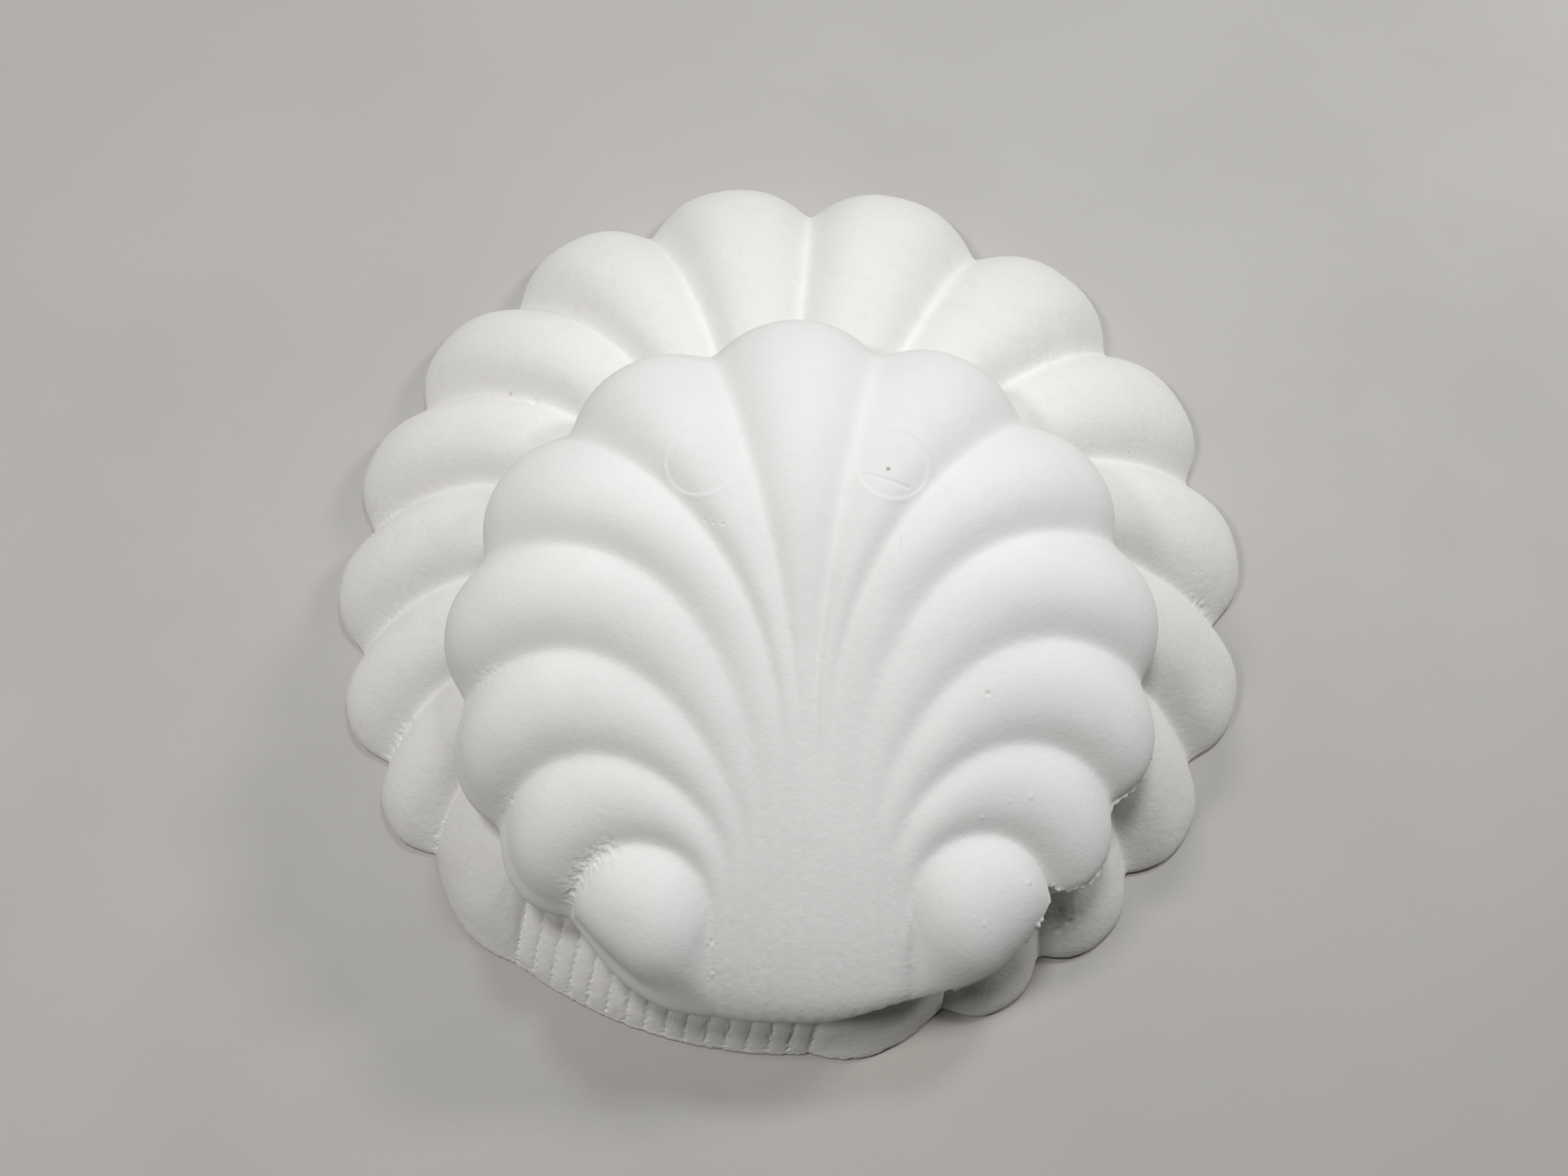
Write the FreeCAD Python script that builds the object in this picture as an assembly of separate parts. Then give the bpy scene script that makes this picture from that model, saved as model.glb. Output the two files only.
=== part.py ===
import FreeCAD, Part
import math
import os
from collections import namedtuple

# Two plaster hump molds in the form of scallop shells, a small one stacked loosely on a
# large one.  Each mold is one solid casting: a convex shell of puffed lobes on a flat back.
#
# Frame: millimetres.  +Z is up.  The origin is the centre of the large mold's flat back.
# +Y runs along the large shell's axis, from its fluted hinge to its rearmost lobe.
#
# Angles around a shell are measured from its rear (+Y), in degrees.

Shell = namedtuple("Shell", [
    "lobes",          # regular lobes, each of which narrows to one flute at the hinge
    "radius",         # mean radius of the curve through the rim notches
    "egg",            # how much that curve is stretched to the rear (or front, if negative)
    "front_swell",    # how far it swells out in front of the last notch, as a share of radius
    "notch_spread",   # angle per unit of fan position at the rear
    "notch_tighten",  # how quickly that angle tightens towards the front
    "hinge_half",     # half the width of the fluted hinge
    "height",         # height of the groove lines over the rim, in the middle of the shell
    "crown_steep",    # how late the crown falls away towards its rim
    "rear_round",     # 1 gives the crown a sloping rim at the rear, 2 an upright one
    "front_round",    # the same at the front
    "relief",         # height of a lobe over its grooves, as a share of its width
    "scroll_relief",  # the same for the two scroll lobes beside the hinge
    "hinge_relief",   # share of that relief left on the flutes at the hinge
    "scroll_swell",   # how far the rim bulges along the two scroll lobes
])

LARGE = Shell(lobes=15, radius=159.0, egg=0.035, front_swell=0.036,
              notch_spread=187.0, notch_tighten=43.5, hinge_half=52.5, height=45.0,
              crown_steep=3.4, rear_round=1.05, front_round=1.15, relief=0.200,
              scroll_relief=0.110, hinge_relief=0.7, scroll_swell=5.5)
SMALL = Shell(lobes=11, radius=111.0, egg=-0.055, front_swell=0.032,
              notch_spread=181.0, notch_tighten=42.5, hinge_half=30.0, height=39.0,
              crown_steep=2.6, rear_round=1.2, front_round=2.1, relief=0.145,
              scroll_relief=0.175, hinge_relief=0.2, scroll_swell=3.0)

# Where the small mold lies on the large one.
SMALL_CENTRE = (14.3, -26.5, 48.9)   # centre of its flat back
SMALL_YAW = 17.5                     # turned from the large shell's axis
SMALL_PITCH = 8.5                    # leaning down towards its hinge

# Flat back and rim, the same on both molds.
RIM_LIFT = 2.0        # the sharp rim stands this far over the flat back
UNDERCUT = 2.0        # the flat back is set in this far from the rim

# The crown has (1 - r^steep)^(1/round) of its height at relative radius r, where round
# goes from rear_round to front_round.
CROWN_TURN = 0.49     # how late the lobes' relief turns from upwards to outwards
CROWN_LEAN = 0.30     # the crown is this much higher at the rear rim, and lower at the front

# Groove lines, in shares of the shell's radius.
STRAIGHT_OUTER = 0.33      # straight run from the hinge, on the outermost groove
STRAIGHT_GAIN = 0.70       # how that run changes towards the middle, first order
STRAIGHT_LOSS = 0.58       # and second order
START_HANDLE_OUTER = 0.19  # how firmly a groove holds its straight direction
START_HANDLE_GAIN = 0.13   # more of that towards the middle
END_HANDLE_OUTER = 0.385   # how firmly it holds its direction at the rim
END_HANDLE_GAIN = 0.61     # more of that towards the middle
HOOK = 30.0                # degrees by which the outer grooves turn back to the front
HOOK_FROM = 0.6            # fan position at which they have the full hook
STRAIGHT_SHARE = 0.30      # share of the groove's parameter spent on the straight run

PUFF = 0.78           # below 1, a lobe is fuller than a parabola
SWELL_POWER = 3.0     # how much a scroll's bulge keeps to the rim
SWELL_FULL_AT = 0.5   # share of the way from the last notch to the hinge's middle
WORN_UNTIL = 0.25     # share of the groove line from the hinge over which it is worn
FULL_FROM = 0.62      # share from which the lobes have their full relief
SCROLL_FULL_FROM = 0.4  # share of a scroll, from the hinge, by which its roll is full
TINY = 1.0e-6

# Density of the surface nets.
LOBE_ACROSS = 7
GROOVE_ALONG = 30
SCROLL_ACROSS = 13
DEGREE = 3
HINGE_STEPS = 8       # rounds of the fixed-point search for a place on the hinge


def vector(x, y, z=0.0):
    return FreeCAD.Vector(x, y, z)


def smooth_step(x):
    x = min(max(x, 0.0), 1.0)
    return x * x * (3.0 - 2.0 * x)


def eased(x):
    """0 to 1, crowding towards both ends, where the walls of the shell are steep."""
    return 0.5 - 0.5 * math.cos(math.pi * x)


def bulge(x):
    """Section of a lobe between its two grooves, from 0 to 1 and back to 0."""
    return max(4.0 * x * (1.0 - x), 0.0) ** PUFF


# ---- The rim in plan ------------------------------------------------------------------

def notch_angle(shell, fan):
    """Angle of the rim point at a fan position, which runs from -1 to 1 across the lobes."""
    return (shell.notch_spread - shell.notch_tighten * abs(fan)) * fan


def rim_radius(shell, angle):
    last_notch = notch_angle(shell, 1.0)
    towards_hinge = max(abs(angle) - last_notch, 0.0) / (180.0 - last_notch)
    swell = shell.front_swell * smooth_step(towards_hinge / SWELL_FULL_AT)
    return shell.radius * (1.0 + shell.egg * math.cos(math.radians(angle)) + swell)


def rim_point(shell, angle):
    radius = rim_radius(shell, angle)
    turn = math.radians(angle)
    return vector(radius * math.sin(turn), radius * math.cos(turn))


def hinge_angle(shell, x):
    """Angle of the rim point in front of the hinge at a distance x from the axis."""
    angle = 180.0
    for _ in range(HINGE_STEPS):
        angle = 180.0 - math.degrees(math.asin(abs(x) / rim_radius(shell, angle)))
    return math.copysign(angle, x)


# ---- Groove lines in plan -------------------------------------------------------------

def groove_point(shell, fan, along):
    """Point in plan on the line from the hinge (along=0) to the rim (along=1)."""
    side = math.copysign(1.0, fan)
    out = abs(fan)
    inward = 1.0 - out
    size = shell.radius
    start_handle = (START_HANDLE_OUTER + START_HANDLE_GAIN * inward) * size
    end_handle = (END_HANDLE_OUTER + END_HANDLE_GAIN * inward) * size
    start = rim_point(shell, hinge_angle(shell, out * shell.hinge_half))
    straight = STRAIGHT_OUTER + STRAIGHT_GAIN * inward - STRAIGHT_LOSS * inward ** 2
    bend = start + vector(0.0, straight * size)
    end_angle = notch_angle(shell, out)
    end = rim_point(shell, end_angle)
    heading = math.radians(end_angle + HOOK * smooth_step(out / HOOK_FROM))
    before_end = end - vector(math.sin(heading), math.cos(heading)) * end_handle
    after_bend = bend + vector(0.0, start_handle)
    s = eased(along)
    if s < STRAIGHT_SHARE:
        point = start + (bend - start) * (s / STRAIGHT_SHARE)
    else:
        s = (s - STRAIGHT_SHARE) / (1.0 - STRAIGHT_SHARE)
        point = (bend * (1.0 - s) ** 3 + after_bend * (3.0 * s * (1.0 - s) ** 2)
                 + before_end * (3.0 * s * s * (1.0 - s)) + end * s ** 3)
    return vector(side * point.x, point.y)


# ---- The crown, through the groove lines ----------------------------------------------

def raised(shell, plan, relief):
    """The crown's point over a point in plan, moved out by the relief of the lobes."""
    distance = math.hypot(plan.x, plan.y)
    edge = rim_radius(shell, math.degrees(math.atan2(plan.x, plan.y)))
    r = min(distance / edge, 1.0)
    steep = shell.crown_steep
    room = max(1.0 - r ** steep, 0.0)
    lean = 1.0 + CROWN_LEAN * plan.y / shell.radius
    to_front = 0.5 - 0.5 * plan.y / max(distance, TINY)
    upright_rim = shell.rear_round + (shell.front_round - shell.rear_round) * to_front
    share = room ** (1.0 / upright_rim)
    height = shell.height * lean * share
    flatness = room ** CROWN_TURN
    fall = shell.height * lean * (steep / upright_rim) * r ** (steep - 1.0) / edge
    outward = plan * (1.0 / max(distance, TINY))
    rise = flatness * share * shell.height * CROWN_LEAN / shell.radius
    direction = outward * fall + vector(0.0, -rise, flatness)
    direction.normalize()
    return vector(plan.x, plan.y, RIM_LIFT + height) + direction * relief


def lobe_net(shell, index):
    """Points over one lobe: rows run across it, from the hinge to the rim."""
    half = shell.lobes / 2.0
    left = (index - half) / half
    right = (index + 1 - half) / half
    net = []
    for row in range(GROOVE_ALONG + 1):
        along = row / GROOVE_ALONG
        width = (groove_point(shell, right, along) - groove_point(shell, left, along)).Length
        unworn = smooth_step((eased(along) - WORN_UNTIL) / (FULL_FROM - WORN_UNTIL))
        kept = shell.hinge_relief + (1.0 - shell.hinge_relief) * unworn
        points = []
        for column in range(LOBE_ACROSS + 1):
            across = column / LOBE_ACROSS
            plan = groove_point(shell, left + (right - left) * across, along)
            points.append(raised(shell, plan, shell.relief * kept * width * bulge(across)))
        net.append(points)
    return net


def scroll_net(shell, side):
    """Points over the end lobe that rolls round beside the hinge, from groove to rim."""
    first = hinge_angle(shell, shell.hinge_half)
    last = notch_angle(shell, 1.0)
    net = []
    for row in range(GROOVE_ALONG + 1):
        along = row / GROOVE_ALONG
        groove = groove_point(shell, 1.0, along)
        rim = rim_point(shell, first + (last - first) * eased(along))
        width = (rim - groove).Length
        swell = shell.scroll_swell * math.sin(math.pi * eased(along))
        kept = smooth_step(eased(along) / SCROLL_FULL_FROM)
        kept = shell.hinge_relief + (1.0 - shell.hinge_relief) * kept
        points = []
        for column in range(SCROLL_ACROSS + 1):
            across = math.sin(0.5 * math.pi * column / SCROLL_ACROSS)
            plan = groove + (rim - groove) * across
            roll = shell.scroll_relief * kept * width * bulge(across)
            points.append(raised(shell, plan, roll + swell * across ** SWELL_POWER))
        net.append([vector(side * p.x, p.y, p.z) for p in points])
    return net


# ---- Faces and solids -----------------------------------------------------------------

def clamped_knots(poles, degree):
    spans = poles - degree
    return [degree + 1] + [1] * (spans - 1) + [degree + 1], list(range(spans + 1))


def net_face(net, across_degree=DEGREE):
    """Spline face with a net of points as its poles."""
    along_mults, along_knots = clamped_knots(len(net), DEGREE)
    across_mults, across_knots = clamped_knots(len(net[0]), across_degree)
    surface = Part.BSplineSurface()
    surface.buildFromPolesMultsKnots(net, along_mults, across_mults, along_knots, across_knots,
                                     False, False, DEGREE, across_degree)
    return surface.toShape()


def run_edge(points):
    """Spline edge with a run of points as its poles."""
    mults, knots = clamped_knots(len(points), DEGREE)
    curve = Part.BSplineCurve()
    curve.buildFromPolesMultsKnots(points, mults, knots, False, DEGREE)
    return curve.toShape()


def set_in(point):
    """The point of the flat back's outline below a point of the rim."""
    distance = math.hypot(point.x, point.y)
    keep = 1.0 - UNDERCUT / distance
    return vector(point.x * keep, point.y * keep, 0.0)


def skirt(rim_points):
    """The undercut face below one stretch of rim, and its edge on the flat back."""
    low_points = [set_in(point) for point in rim_points]
    net = [[high, low] for high, low in zip(rim_points, low_points)]
    return net_face(net, across_degree=1), run_edge(low_points)


def shell_mold(shell):
    """One casting: lobes, scrolls, undercut rim and flat back, as a closed solid."""
    faces = []
    rim_runs = []
    for index in range(shell.lobes):
        net = lobe_net(shell, index)
        faces.append(net_face(net))
        rim_runs.append(net[0])
        rim_runs.append(net[-1])
    for side in (-1.0, 1.0):
        net = scroll_net(shell, side)
        faces.append(net_face(net))
        rim_runs.append([row[-1] for row in net])
    back_edges = []
    for run in rim_runs:
        face, low_edge = skirt(run)
        faces.append(face)
        back_edges.append(low_edge)
    outline = Part.Wire(Part.__sortEdges__(back_edges))
    faces.append(Part.Face(outline))
    skin = Part.makeShell(faces)
    skin.sewShape()
    return Part.makeSolid(skin)


def small_placement():
    turn = FreeCAD.Rotation(vector(0, 0, 1), SMALL_YAW)
    lean = FreeCAD.Rotation(vector(1, 0, 0), SMALL_PITCH)
    return FreeCAD.Placement(vector(*SMALL_CENTRE), turn * lean)


def main():
    os.makedirs("parts", exist_ok=True)
    large = shell_mold(LARGE)
    small = shell_mold(SMALL)
    small.Placement = small_placement()
    for name, solid in (("large_shell_mold", large), ("small_shell_mold", small)):
        solid.exportStep("parts/" + name + ".step")
        print(name, "valid", solid.isValid(), "litres", round(solid.Volume / 1.0e6, 4))


main()
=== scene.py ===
import math
from collections import namedtuple

import bmesh
import bpy
import numpy as np
from mathutils import Euler, Matrix, Vector


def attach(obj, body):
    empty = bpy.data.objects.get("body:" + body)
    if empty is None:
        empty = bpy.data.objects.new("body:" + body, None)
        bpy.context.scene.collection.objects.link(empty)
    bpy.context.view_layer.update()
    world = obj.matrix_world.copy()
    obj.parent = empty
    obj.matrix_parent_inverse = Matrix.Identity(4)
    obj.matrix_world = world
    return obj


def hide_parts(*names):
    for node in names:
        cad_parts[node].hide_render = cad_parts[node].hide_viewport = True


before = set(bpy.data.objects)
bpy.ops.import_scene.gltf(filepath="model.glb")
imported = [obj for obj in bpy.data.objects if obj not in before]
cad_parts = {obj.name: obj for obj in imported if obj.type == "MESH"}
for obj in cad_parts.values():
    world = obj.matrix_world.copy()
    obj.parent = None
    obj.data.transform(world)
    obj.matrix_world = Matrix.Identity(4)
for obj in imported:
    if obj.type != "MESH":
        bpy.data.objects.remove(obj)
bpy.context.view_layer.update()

# Two plaster hump molds shaped as scallop shells, the small one lying on the large one.
# Shapes are worked out in millimetres in each mold's own frame: +Z up, the origin at the
# centre of the flat back, +Y from the fluted hinge to the rear lobe.  They are scaled to
# metres and placed at the end.
MM = 0.001

Shell = namedtuple("Shell", [
    "lobes",          # regular lobes, each of which narrows to one flute at the hinge
    "radius",         # mean radius of the curve through the rim notches
    "egg",            # how much that curve is stretched to the rear (negative: to the front)
    "front_swell",    # how far it swells out in front of the last notch
    "notch_spread",   # angle per unit of fan position at the rear
    "notch_tighten",  # how quickly that angle tightens towards the front
    "hinge_half",     # half the width of the fluted hinge
    "height",         # height of the groove lines over the rim
    "crown_steep",    # how late the crown falls away towards its rim
    "rear_round",     # 1 gives the crown a sloping rim at the rear, 2 an upright one
    "front_round",    # the same at the front
    "fullness",       # 2 for lobes with a parabola's section, more for fuller ones
    "relief",         # height of a lobe over its grooves, as a share of its width
    "inner_relief",   # the same, well inside the rim
    "scroll_relief",  # the same for the two scroll lobes beside the hinge
    "hinge_relief",   # share of that relief left on the flutes at the hinge
    "groove_round",   # how softly the grooves are rounded near the rim, mm
    "flute_round",    # the same at the hinge, mm
    "scroll_fade",    # share of a scroll, from the hinge, by which its roll is full
    "scroll_swell",   # how far the rim bulges along the two scroll lobes
])
LARGE = Shell(lobes=15, radius=159.0, egg=0.035, front_swell=0.036,
              notch_spread=187.0, notch_tighten=43.5, hinge_half=52.5, height=45.0,
              crown_steep=3.4, rear_round=1.05, front_round=1.15, fullness=2.5,
              relief=0.200, inner_relief=0.155, scroll_relief=0.110, hinge_relief=0.60,
              groove_round=2.0, flute_round=0.25, scroll_fade=0.12, scroll_swell=5.5)
SMALL = Shell(lobes=11, radius=111.0, egg=-0.055, front_swell=0.032,
              notch_spread=181.0, notch_tighten=42.5, hinge_half=30.0, height=39.0,
              crown_steep=2.6, rear_round=1.2, front_round=2.1, fullness=2.15,
              relief=0.145, inner_relief=0.088, scroll_relief=0.175, hinge_relief=0.12,
              groove_round=2.6, flute_round=6.0, scroll_fade=0.55, scroll_swell=3.0)

# Where the small mold lies on the large one.
SMALL_CENTRE = (14.3, -26.5, 48.9)
SMALL_YAW = 17.5      # turned from the large shell's axis, degrees
SMALL_PITCH = 8.5     # leaning down towards its hinge, degrees

RIM_LIFT = 2.0        # the rim stands this far over the flat back
UNDERCUT = 2.0        # the flat back is set in this far from the rim
CROWN_TURN = 0.49     # how late the relief turns from upwards to outwards
CROWN_LEAN = 0.30     # the crown is this much higher at the rear, and lower at the front

# Groove lines, in shares of the shell's radius.
STRAIGHT_OUTER = 0.33      # straight run from the hinge, on the outermost groove
STRAIGHT_GAIN = 0.70       # how that run changes towards the middle, first order
STRAIGHT_LOSS = 0.58       # and second order
START_HANDLE_OUTER = 0.19  # how firmly a groove holds its straight direction
START_HANDLE_GAIN = 0.13   # more of that towards the middle
END_HANDLE_OUTER = 0.385   # how firmly it holds its direction at the rim
END_HANDLE_GAIN = 0.61     # more of that towards the middle
HOOK = 30.0                # degrees by which the outer grooves turn back to the front
HOOK_FROM = 0.6            # fan position at which they have the full hook
STRAIGHT_SHARE = 0.30      # share of the groove's parameter spent on the straight run

# Wear, and the lobes' relief along the grooves.
WORN_UNTIL = 0.42     # share of a groove from the hinge that is worn, in the middle
WORN_LESS_OUT = 0.24  # how much sooner the wear ends on the outermost groove
FULL_FROM = 0.82      # share of a groove from which it has its full depth
FULL_SOONER_OUT = 0.27   # how much sooner on the outermost groove
RIM_SHARE = 0.35      # share of a lobe next to the rim where its relief changes
OUTER_GAIN = 0.05     # how much more relief the outermost lobes have
OUTER_FROM = 0.6      # fan position from which that sets in, and how quickly
OUTER_FADE = 0.3
HINGE_RIM = 0.30      # share of the flutes' relief left at the very rim
HINGE_RIM_TO = 0.02   # share of a groove over which that changes
UPRIGHT_TO = 0.3      # share of a groove on which the flutes stand upright
ROUNDED_FROM = 0.7    # share of a groove from which it has its rounding at the rim
SCROLL_BLEND = 8.0    # softer rounding where a scroll meets the worn flutes, mm
SWELL_POWER = 3.0     # how much a scroll's bulge keeps to the rim
SWELL_FULL_AT = 0.5   # share of the way from the last notch to the hinge's middle
HINGE_STEPS = 8       # rounds of the fixed-point search for a place on the hinge
TINY = 1.0e-6

Grain = namedtuple("Grain", "lobe_across scroll_across along")
LARGE_GRAIN = Grain(lobe_across=20, scroll_across=44, along=280)
SMALL_GRAIN = Grain(lobe_across=26, scroll_across=56, along=280)
BACK_RINGS = (1.0, 0.97, 0.85, 0.6, 0.3)   # rings of the flat back, as shares of its outline
REFINE_ROUNDS = 2     # halvings of the mesh around each fine spot
REFINED_EDGE = 0.35   # edges shorter than this are never split
REFINED_OVER = 0.5    # nor are edges less than this over the rim
MERGE_WITHIN = 0.01   # points closer than this become one
SHARP_ANGLE = 50.0    # edges sharper than this are shaded sharp, degrees
FAR = 1000.0          # distance to the nearest groove, off the crown

# The foot on the small mold's left stands out under a waist, where the wall is pulled in:
# angle from the mold's rear, share of the waist's depth.
FOOT = [(-180.0, 0.0), (-172.0, 0.0), (-160.0, 0.45), (-149.0, 1.0), (-128.0, 1.0),
        (-115.0, 0.6), (-100.0, 0.4), (-82.0, 0.0), (180.0, 0.0)]
WAIST_DEPTH = 3.1     # how far the wall over the foot is pulled in
WAIST_FULL_AT = 9.0   # height over the rim where it is pulled in most
WAIST_TO = 25.0       # and where that ends

# How far the foot of the small mold is worn or broken back: angle from its rear, depth.
TRIM = [(-180.0, 2.3), (-160.0, 0.0), (-140.0, 1.4), (-125.0, 0.0), (-60.0, 0.0), (-25.0, 1.6),
        (0.0, 2.5), (30.0, 2.3), (55.0, 0.0), (98.0, 0.8), (120.0, 3.0), (131.0, 4.3),
        (141.0, 6.8), (148.0, 3.4), (156.0, 5.2), (166.0, 4.2), (180.0, 2.3)]
BREAK_HEIGHT = 2.2    # height of the broken edge over the rim, per depth of the break
WORN_HEIGHT = 14.0    # height up to which the wall is worn too
BREAK_STEP = 1.0      # height over which the wall breaks away
BREAK_WANDER = 1.6    # how far the break wanders up and down
BREAK_WAVE = 3.0      # and over what length
BURR = 1.1            # a ragged burr stands out this far along the break on the right,
BURR_FROM = 104.0     # from this angle
BURR_TO = 150.0       # to this one
BURR_FADE = 6.0       # angle over which it sets in and ends
BURR_LUMP = 1.7       # size of its lumps
BURR_BIAS = 0.15      # the higher this is, the fewer gaps it has
BURR_HEIGHT = 0.8     # how far up and down it reaches


# ---- Noise ------------------------------------------------------------------------------

def lattice_value(ix, iy, iz, seed):
    """A repeatable number from 0 to 1 for each whole-number point."""
    h = (ix * 374761393 + iy * 668265263 + iz * 2147483647 + seed * 1274126177)
    h = h & 0xFFFFFFFF
    h = ((h ^ (h >> 13)) * 1274126177) & 0xFFFFFFFF
    h = h ^ (h >> 16)
    return (h & 0xFFFF) / 65535.0


def noise(points, cell, seed):
    """Smooth noise from -1 to 1 with features about one cell across."""
    p = points / cell
    base = np.floor(p).astype(np.int64)
    f = p - base
    f = f * f * (3.0 - 2.0 * f)
    total = np.zeros(points.shape[:-1])
    for dx in (0, 1):
        wx = f[..., 0] if dx else 1.0 - f[..., 0]
        for dy in (0, 1):
            wy = f[..., 1] if dy else 1.0 - f[..., 1]
            for dz in (0, 1):
                wz = f[..., 2] if dz else 1.0 - f[..., 2]
                value = lattice_value(base[..., 0] + dx, base[..., 1] + dy,
                                      base[..., 2] + dz, seed)
                total += wx * wy * wz * value
    return 2.0 * total - 1.0


# ---- The shell's formulas ---------------------------------------------------------------

def smooth_step(x):
    x = np.clip(x, 0.0, 1.0)
    return x * x * (3.0 - 2.0 * x)


def eased(x):
    return 0.5 - 0.5 * np.cos(np.pi * x)


def lobe_section(shell, x, width, rounding):
    """Section of a lobe from groove (x=0) to groove (x=1), with rounded groove floors."""
    t = 1.0 - np.abs(2.0 * x - 1.0)
    tau = 2.0 * rounding / np.maximum(width, TINY)
    t = (np.sqrt(t * t + tau * tau) - tau) / (np.sqrt(1.0 + tau * tau) - tau)
    return 1.0 - (1.0 - t) ** shell.fullness


def unworn(shell, fan, along):
    """1 where the grooves have their full depth, less towards a worn hinge."""
    out = np.abs(fan)
    gone = WORN_UNTIL - WORN_LESS_OUT * out
    full = FULL_FROM - FULL_SOONER_OUT * out
    share = smooth_step((eased(along) - gone) / (full - gone))
    return shell.hinge_relief + (1.0 - shell.hinge_relief) * share


def groove_rounding(shell, along):
    share = smooth_step(eased(along) / ROUNDED_FROM)
    return shell.flute_round + (shell.groove_round - shell.flute_round) * share


def relief_share(shell, fan, along):
    """Height of a lobe as a share of its width."""
    inner = smooth_step((1.0 - eased(along)) / RIM_SHARE)
    share = shell.relief + (shell.inner_relief - shell.relief) * inner
    share = share * (1.0 + OUTER_GAIN * smooth_step((np.abs(fan) - OUTER_FROM) / OUTER_FADE))
    at_rim = HINGE_RIM + (1.0 - HINGE_RIM) * smooth_step(eased(along) / HINGE_RIM_TO)
    return share * at_rim * unworn(shell, fan, along)


def notch_angle(shell, fan):
    return (shell.notch_spread - shell.notch_tighten * np.abs(fan)) * fan


def rim_radius(shell, angle):
    last_notch = notch_angle(shell, 1.0)
    towards_hinge = np.maximum(np.abs(angle) - last_notch, 0.0) / (180.0 - last_notch)
    swell = shell.front_swell * smooth_step(towards_hinge / SWELL_FULL_AT)
    return shell.radius * (1.0 + shell.egg * np.cos(np.radians(angle)) + swell)


def rim_point(shell, angle):
    radius = rim_radius(shell, angle)
    turn = np.radians(angle)
    return np.stack([radius * np.sin(turn), radius * np.cos(turn)], axis=-1)


def hinge_angle(shell, x):
    angle = np.full(np.shape(x), 180.0)
    for _ in range(HINGE_STEPS):
        angle = 180.0 - np.degrees(np.arcsin(np.abs(x) / rim_radius(shell, angle)))
    return angle


def groove_point(shell, fan, along):
    """Points in plan on the lines from the hinge (along=0) to the rim (along=1)."""
    fan, along = np.broadcast_arrays(fan, along)
    out = np.abs(fan)
    inward = 1.0 - out
    size = shell.radius
    start = rim_point(shell, hinge_angle(shell, out * shell.hinge_half))
    straight = STRAIGHT_OUTER + STRAIGHT_GAIN * inward - STRAIGHT_LOSS * inward ** 2
    up = np.array([0.0, 1.0])
    bend = start + up * (straight * size)[..., None]
    end_angle = notch_angle(shell, out)
    end = rim_point(shell, end_angle)
    heading = np.radians(end_angle + HOOK * smooth_step(out / HOOK_FROM))
    handle = (END_HANDLE_OUTER + END_HANDLE_GAIN * inward) * size
    direction = np.stack([np.sin(heading), np.cos(heading)], axis=-1)
    before_end = end - direction * handle[..., None]
    start_handle = (START_HANDLE_OUTER + START_HANDLE_GAIN * inward) * size
    after_bend = bend + up * start_handle[..., None]
    s = eased(along)[..., None]
    first = start + (bend - start) * (s / STRAIGHT_SHARE)
    t = np.clip((s - STRAIGHT_SHARE) / (1.0 - STRAIGHT_SHARE), 0.0, 1.0)
    second = (bend * (1.0 - t) ** 3 + after_bend * (3.0 * t * (1.0 - t) ** 2)
              + before_end * (3.0 * t * t * (1.0 - t)) + end * t ** 3)
    plan = np.where(s < STRAIGHT_SHARE, first, second)
    plan[..., 0] *= np.where(fan < 0.0, -1.0, 1.0)
    return plan


def raised(shell, plan, relief, upright=0.0):
    """The crown's points over points in plan, moved out by the relief of the lobes.

    The relief turns from upwards to outwards near the rim, except where upright is 1.
    """
    distance = np.hypot(plan[..., 0], plan[..., 1])
    edge = rim_radius(shell, np.degrees(np.arctan2(plan[..., 0], plan[..., 1])))
    r = np.minimum(distance / edge, 1.0)
    steep = shell.crown_steep
    room = np.maximum(1.0 - r ** steep, 0.0)
    lean = 1.0 + CROWN_LEAN * plan[..., 1] / shell.radius
    to_front = 0.5 - 0.5 * plan[..., 1] / np.maximum(distance, TINY)
    upright_rim = shell.rear_round + (shell.front_round - shell.rear_round) * to_front
    share = room ** (1.0 / upright_rim)
    height = shell.height * lean * share
    flatness = room ** CROWN_TURN
    flatness = flatness + (1.0 - flatness) * upright
    fall = shell.height * lean * (steep / upright_rim) * r ** (steep - 1.0) / edge
    outward = plan / np.maximum(distance, TINY)[..., None]
    rise = flatness * share * shell.height * CROWN_LEAN / shell.radius
    way = np.stack([outward[..., 0] * fall, outward[..., 1] * fall - rise, flatness], axis=-1)
    way /= np.linalg.norm(way, axis=-1, keepdims=True)
    base = np.stack([plan[..., 0], plan[..., 1], RIM_LIFT + height], axis=-1)
    return base + way * relief[..., None]


def lobe_grid(shell, index, grain):
    half = shell.lobes / 2.0
    left = (index - half) / half
    right = (index + 1 - half) / half
    along = np.linspace(0.0, 1.0, grain.along + 1)[:, None]
    across = eased(np.linspace(0.0, 1.0, grain.lobe_across + 1))[None, :]
    width = np.linalg.norm(groove_point(shell, right, along)
                           - groove_point(shell, left, along), axis=-1)
    fan = left + (right - left) * across
    plan = groove_point(shell, fan, along)
    section = lobe_section(shell, across, width, groove_rounding(shell, along))
    upright = 1.0 - smooth_step(eased(along) / UPRIGHT_TO)
    points = raised(shell, plan, relief_share(shell, fan, along) * width * section, upright)
    gap = width * np.minimum(across, 1.0 - across)
    return np.concatenate([points, gap[..., None]], axis=-1)


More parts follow.
